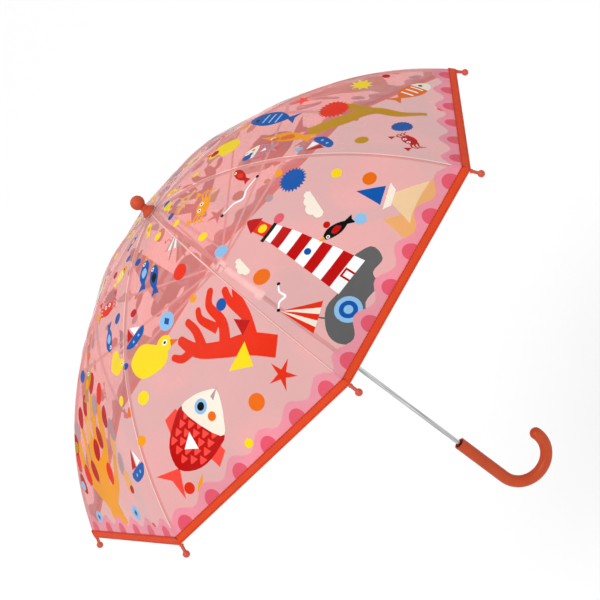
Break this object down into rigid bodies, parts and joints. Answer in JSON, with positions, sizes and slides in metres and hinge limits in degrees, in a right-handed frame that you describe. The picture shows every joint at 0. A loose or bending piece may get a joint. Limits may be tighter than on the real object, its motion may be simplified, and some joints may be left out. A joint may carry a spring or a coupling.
{
  "type": "children's umbrella",
  "caption": "Children's umbrella with a domed see-through film canopy, ball-tipped ribs, sliding runner and a J-shaped hook handle; it opens and closes.",
  "frame": {"origin": "on the shaft's axis, at the middle of the straight grip", "axes": "+Z along the shaft towards the ferrule, +X towards the tip of the hook"},
  "size_m": [0.7212, 0.7212, 0.6374],
  "materials": {
    "canopy_film": "soft glossy printed film, slightly wrinkled, see-through",
    "binding_ribbon": "woven orange-red ribbon",
    "handle_plastic": "satin moulded plastic",
    "ferrule_plastic": "satin moulded plastic",
    "tip_plastic": "slightly see-through coral plastic",
    "clear_plastic": "milky see-through moulded plastic",
    "shaft_steel": "bright zinc plated tube",
    "rib_coating": "pale coated wire",
    "wire": "plain steel wire"
  },
  "bodies": {
    "shaft": {"shaft_tube": "shaft_steel", "handle": "handle_plastic", "ferrule": "ferrule_plastic", "top_washer": "clear_plastic", "crown": "clear_plastic", "crown_wire": "wire", "stop_pin": "wire"},
    "top_catch": {"top_catch": "wire"},
    "bottom_catch": {"bottom_catch": "wire"},
    "runner": {"runner": "clear_plastic", "runner_wire": "wire"},
    "rib_1": {"rib_1": "rib_coating", "rib_tip_1": "tip_plastic", "rib_clip_1": "clear_plastic", "canopy_panel_1": "canopy_film", "rim_binding_1": "binding_ribbon"},
    "stretcher_1": {"stretcher_1": "rib_coating"},
    "rib_2": {"rib_2": "rib_coating", "rib_tip_2": "tip_plastic", "rib_clip_2": "clear_plastic", "canopy_panel_2": "canopy_film", "rim_binding_2": "binding_ribbon"},
    "stretcher_2": {"stretcher_2": "rib_coating"},
    "rib_3": {"rib_3": "rib_coating", "rib_tip_3": "tip_plastic", "rib_clip_3": "clear_plastic", "canopy_panel_3": "canopy_film", "rim_binding_3": "binding_ribbon"},
    "stretcher_3": {"stretcher_3": "rib_coating"},
    "rib_4": {"rib_4": "rib_coating", "rib_tip_4": "tip_plastic", "rib_clip_4": "clear_plastic", "canopy_panel_4": "canopy_film", "rim_binding_4": "binding_ribbon"},
    "stretcher_4": {"stretcher_4": "rib_coating"},
    "rib_5": {"rib_5": "rib_coating", "rib_tip_5": "tip_plastic", "rib_clip_5": "clear_plastic", "canopy_panel_5": "canopy_film", "rim_binding_5": "binding_ribbon"},
    "stretcher_5": {"stretcher_5": "rib_coating"},
    "rib_6": {"rib_6": "rib_coating", "rib_tip_6": "tip_plastic", "rib_clip_6": "clear_plastic", "canopy_panel_6": "canopy_film", "rim_binding_6": "binding_ribbon"},
    "stretcher_6": {"stretcher_6": "rib_coating"},
    "rib_7": {"rib_7": "rib_coating", "rib_tip_7": "tip_plastic", "rib_clip_7": "clear_plastic", "canopy_panel_7": "canopy_film", "rim_binding_7": "binding_ribbon"},
    "stretcher_7": {"stretcher_7": "rib_coating"},
    "rib_8": {"rib_8": "rib_coating", "rib_tip_8": "tip_plastic", "rib_clip_8": "clear_plastic", "canopy_panel_8": "canopy_film", "rim_binding_8": "binding_ribbon"},
    "stretcher_8": {"stretcher_8": "rib_coating"}
  },
  "joints": [
    {"name": "runner_slide", "type": "slide", "parent": "shaft", "child": "runner", "axis": [0, 0, 1], "range_m": [-0.2714, 0], "deforming": ["canopy_panel_1", "canopy_panel_2", "canopy_panel_3", "canopy_panel_4", "canopy_panel_5", "canopy_panel_6", "canopy_panel_7", "canopy_panel_8", "rim_binding_1", "rim_binding_2", "rim_binding_3", "rim_binding_4", "rim_binding_5", "rim_binding_6", "rim_binding_7", "rim_binding_8", "top_catch", "bottom_catch"]},
    {"name": "top_catch_press", "type": "slide", "parent": "shaft", "child": "top_catch", "axis": [-0.3827, -0.9239, 0], "range_m": [0, 0.0023], "stiffness_N_per_m": 500},
    {"name": "bottom_catch_press", "type": "slide", "parent": "shaft", "child": "bottom_catch", "axis": [-0.3827, -0.9239, 0], "range_m": [0, 0.0023], "stiffness_N_per_m": 500},
    {"name": "rib_1_fold", "type": "hinge", "parent": "shaft", "child": "rib_1", "pos_m": [0.0075, 0, 0.52645], "axis": [0, 1, 0], "range_deg": [0, 59.05]},
    {"name": "stretcher_1_fold", "type": "hinge", "parent": "rib_1", "child": "stretcher_1", "pos_m": [0.1941, 0, 0.47645], "axis": [0, 1, 0], "range_deg": [-118.1, 0]},
    {"name": "rib_2_fold", "type": "hinge", "parent": "shaft", "child": "rib_2", "pos_m": [0.0053, 0.0053, 0.52645], "axis": [-0.7071, 0.7071, 0], "range_deg": [0, 59.05]},
    {"name": "stretcher_2_fold", "type": "hinge", "parent": "rib_2", "child": "stretcher_2", "pos_m": [0.13725, 0.13725, 0.47645], "axis": [-0.7071, 0.7071, 0], "range_deg": [-118.1, 0]},
    {"name": "rib_3_fold", "type": "hinge", "parent": "shaft", "child": "rib_3", "pos_m": [0, 0.0075, 0.52645], "axis": [-1, 0, 0], "range_deg": [0, 59.05]},
    {"name": "stretcher_3_fold", "type": "hinge", "parent": "rib_3", "child": "stretcher_3", "pos_m": [0, 0.1941, 0.47645], "axis": [-1, 0, 0], "range_deg": [-118.1, 0]},
    {"name": "rib_4_fold", "type": "hinge", "parent": "shaft", "child": "rib_4", "pos_m": [-0.0053, 0.0053, 0.52645], "axis": [-0.7071, -0.7071, 0], "range_deg": [0, 59.05]},
    {"name": "stretcher_4_fold", "type": "hinge", "parent": "rib_4", "child": "stretcher_4", "pos_m": [-0.13725, 0.13725, 0.47645], "axis": [-0.7071, -0.7071, 0], "range_deg": [-118.1, 0]},
    {"name": "rib_5_fold", "type": "hinge", "parent": "shaft", "child": "rib_5", "pos_m": [-0.0075, 0, 0.52645], "axis": [0, -1, 0], "range_deg": [0, 59.05]},
    {"name": "stretcher_5_fold", "type": "hinge", "parent": "rib_5", "child": "stretcher_5", "pos_m": [-0.1941, 0, 0.47645], "axis": [0, -1, 0], "range_deg": [-118.1, 0]},
    {"name": "rib_6_fold", "type": "hinge", "parent": "shaft", "child": "rib_6", "pos_m": [-0.0053, -0.0053, 0.52645], "axis": [0.7071, -0.7071, 0], "range_deg": [0, 59.05]},
    {"name": "stretcher_6_fold", "type": "hinge", "parent": "rib_6", "child": "stretcher_6", "pos_m": [-0.13725, -0.13725, 0.47645], "axis": [0.7071, -0.7071, 0], "range_deg": [-118.1, 0]},
    {"name": "rib_7_fold", "type": "hinge", "parent": "shaft", "child": "rib_7", "pos_m": [0, -0.0075, 0.52645], "axis": [1, 0, 0], "range_deg": [0, 59.05]},
    {"name": "stretcher_7_fold", "type": "hinge", "parent": "rib_7", "child": "stretcher_7", "pos_m": [0, -0.1941, 0.47645], "axis": [1, 0, 0], "range_deg": [-118.1, 0]},
    {"name": "rib_8_fold", "type": "hinge", "parent": "shaft", "child": "rib_8", "pos_m": [0.0053, -0.0053, 0.52645], "axis": [0.7071, 0.7071, 0], "range_deg": [0, 59.05]},
    {"name": "stretcher_8_fold", "type": "hinge", "parent": "rib_8", "child": "stretcher_8", "pos_m": [0.13725, -0.13725, 0.47645], "axis": [0.7071, 0.7071, 0], "range_deg": [-118.1, 0]}
  ],
  "couplings": [
    {"joint": "rib_1_fold", "follows": "runner_slide", "rad_per_m": -3.7942},
    {"joint": "stretcher_1_fold", "follows": "runner_slide", "rad_per_m": 7.5884},
    {"joint": "rib_2_fold", "follows": "runner_slide", "rad_per_m": -3.7942},
    {"joint": "stretcher_2_fold", "follows": "runner_slide", "rad_per_m": 7.5884},
    {"joint": "rib_3_fold", "follows": "runner_slide", "rad_per_m": -3.7942},
    {"joint": "stretcher_3_fold", "follows": "runner_slide", "rad_per_m": 7.5884},
    {"joint": "rib_4_fold", "follows": "runner_slide", "rad_per_m": -3.7942},
    {"joint": "stretcher_4_fold", "follows": "runner_slide", "rad_per_m": 7.5884},
    {"joint": "rib_5_fold", "follows": "runner_slide", "rad_per_m": -3.7942},
    {"joint": "stretcher_5_fold", "follows": "runner_slide", "rad_per_m": 7.5884},
    {"joint": "rib_6_fold", "follows": "runner_slide", "rad_per_m": -3.7942},
    {"joint": "stretcher_6_fold", "follows": "runner_slide", "rad_per_m": 7.5884},
    {"joint": "rib_7_fold", "follows": "runner_slide", "rad_per_m": -3.7942},
    {"joint": "stretcher_7_fold", "follows": "runner_slide", "rad_per_m": 7.5884},
    {"joint": "rib_8_fold", "follows": "runner_slide", "rad_per_m": -3.7942},
    {"joint": "stretcher_8_fold", "follows": "runner_slide", "rad_per_m": 7.5884}
  ]
}
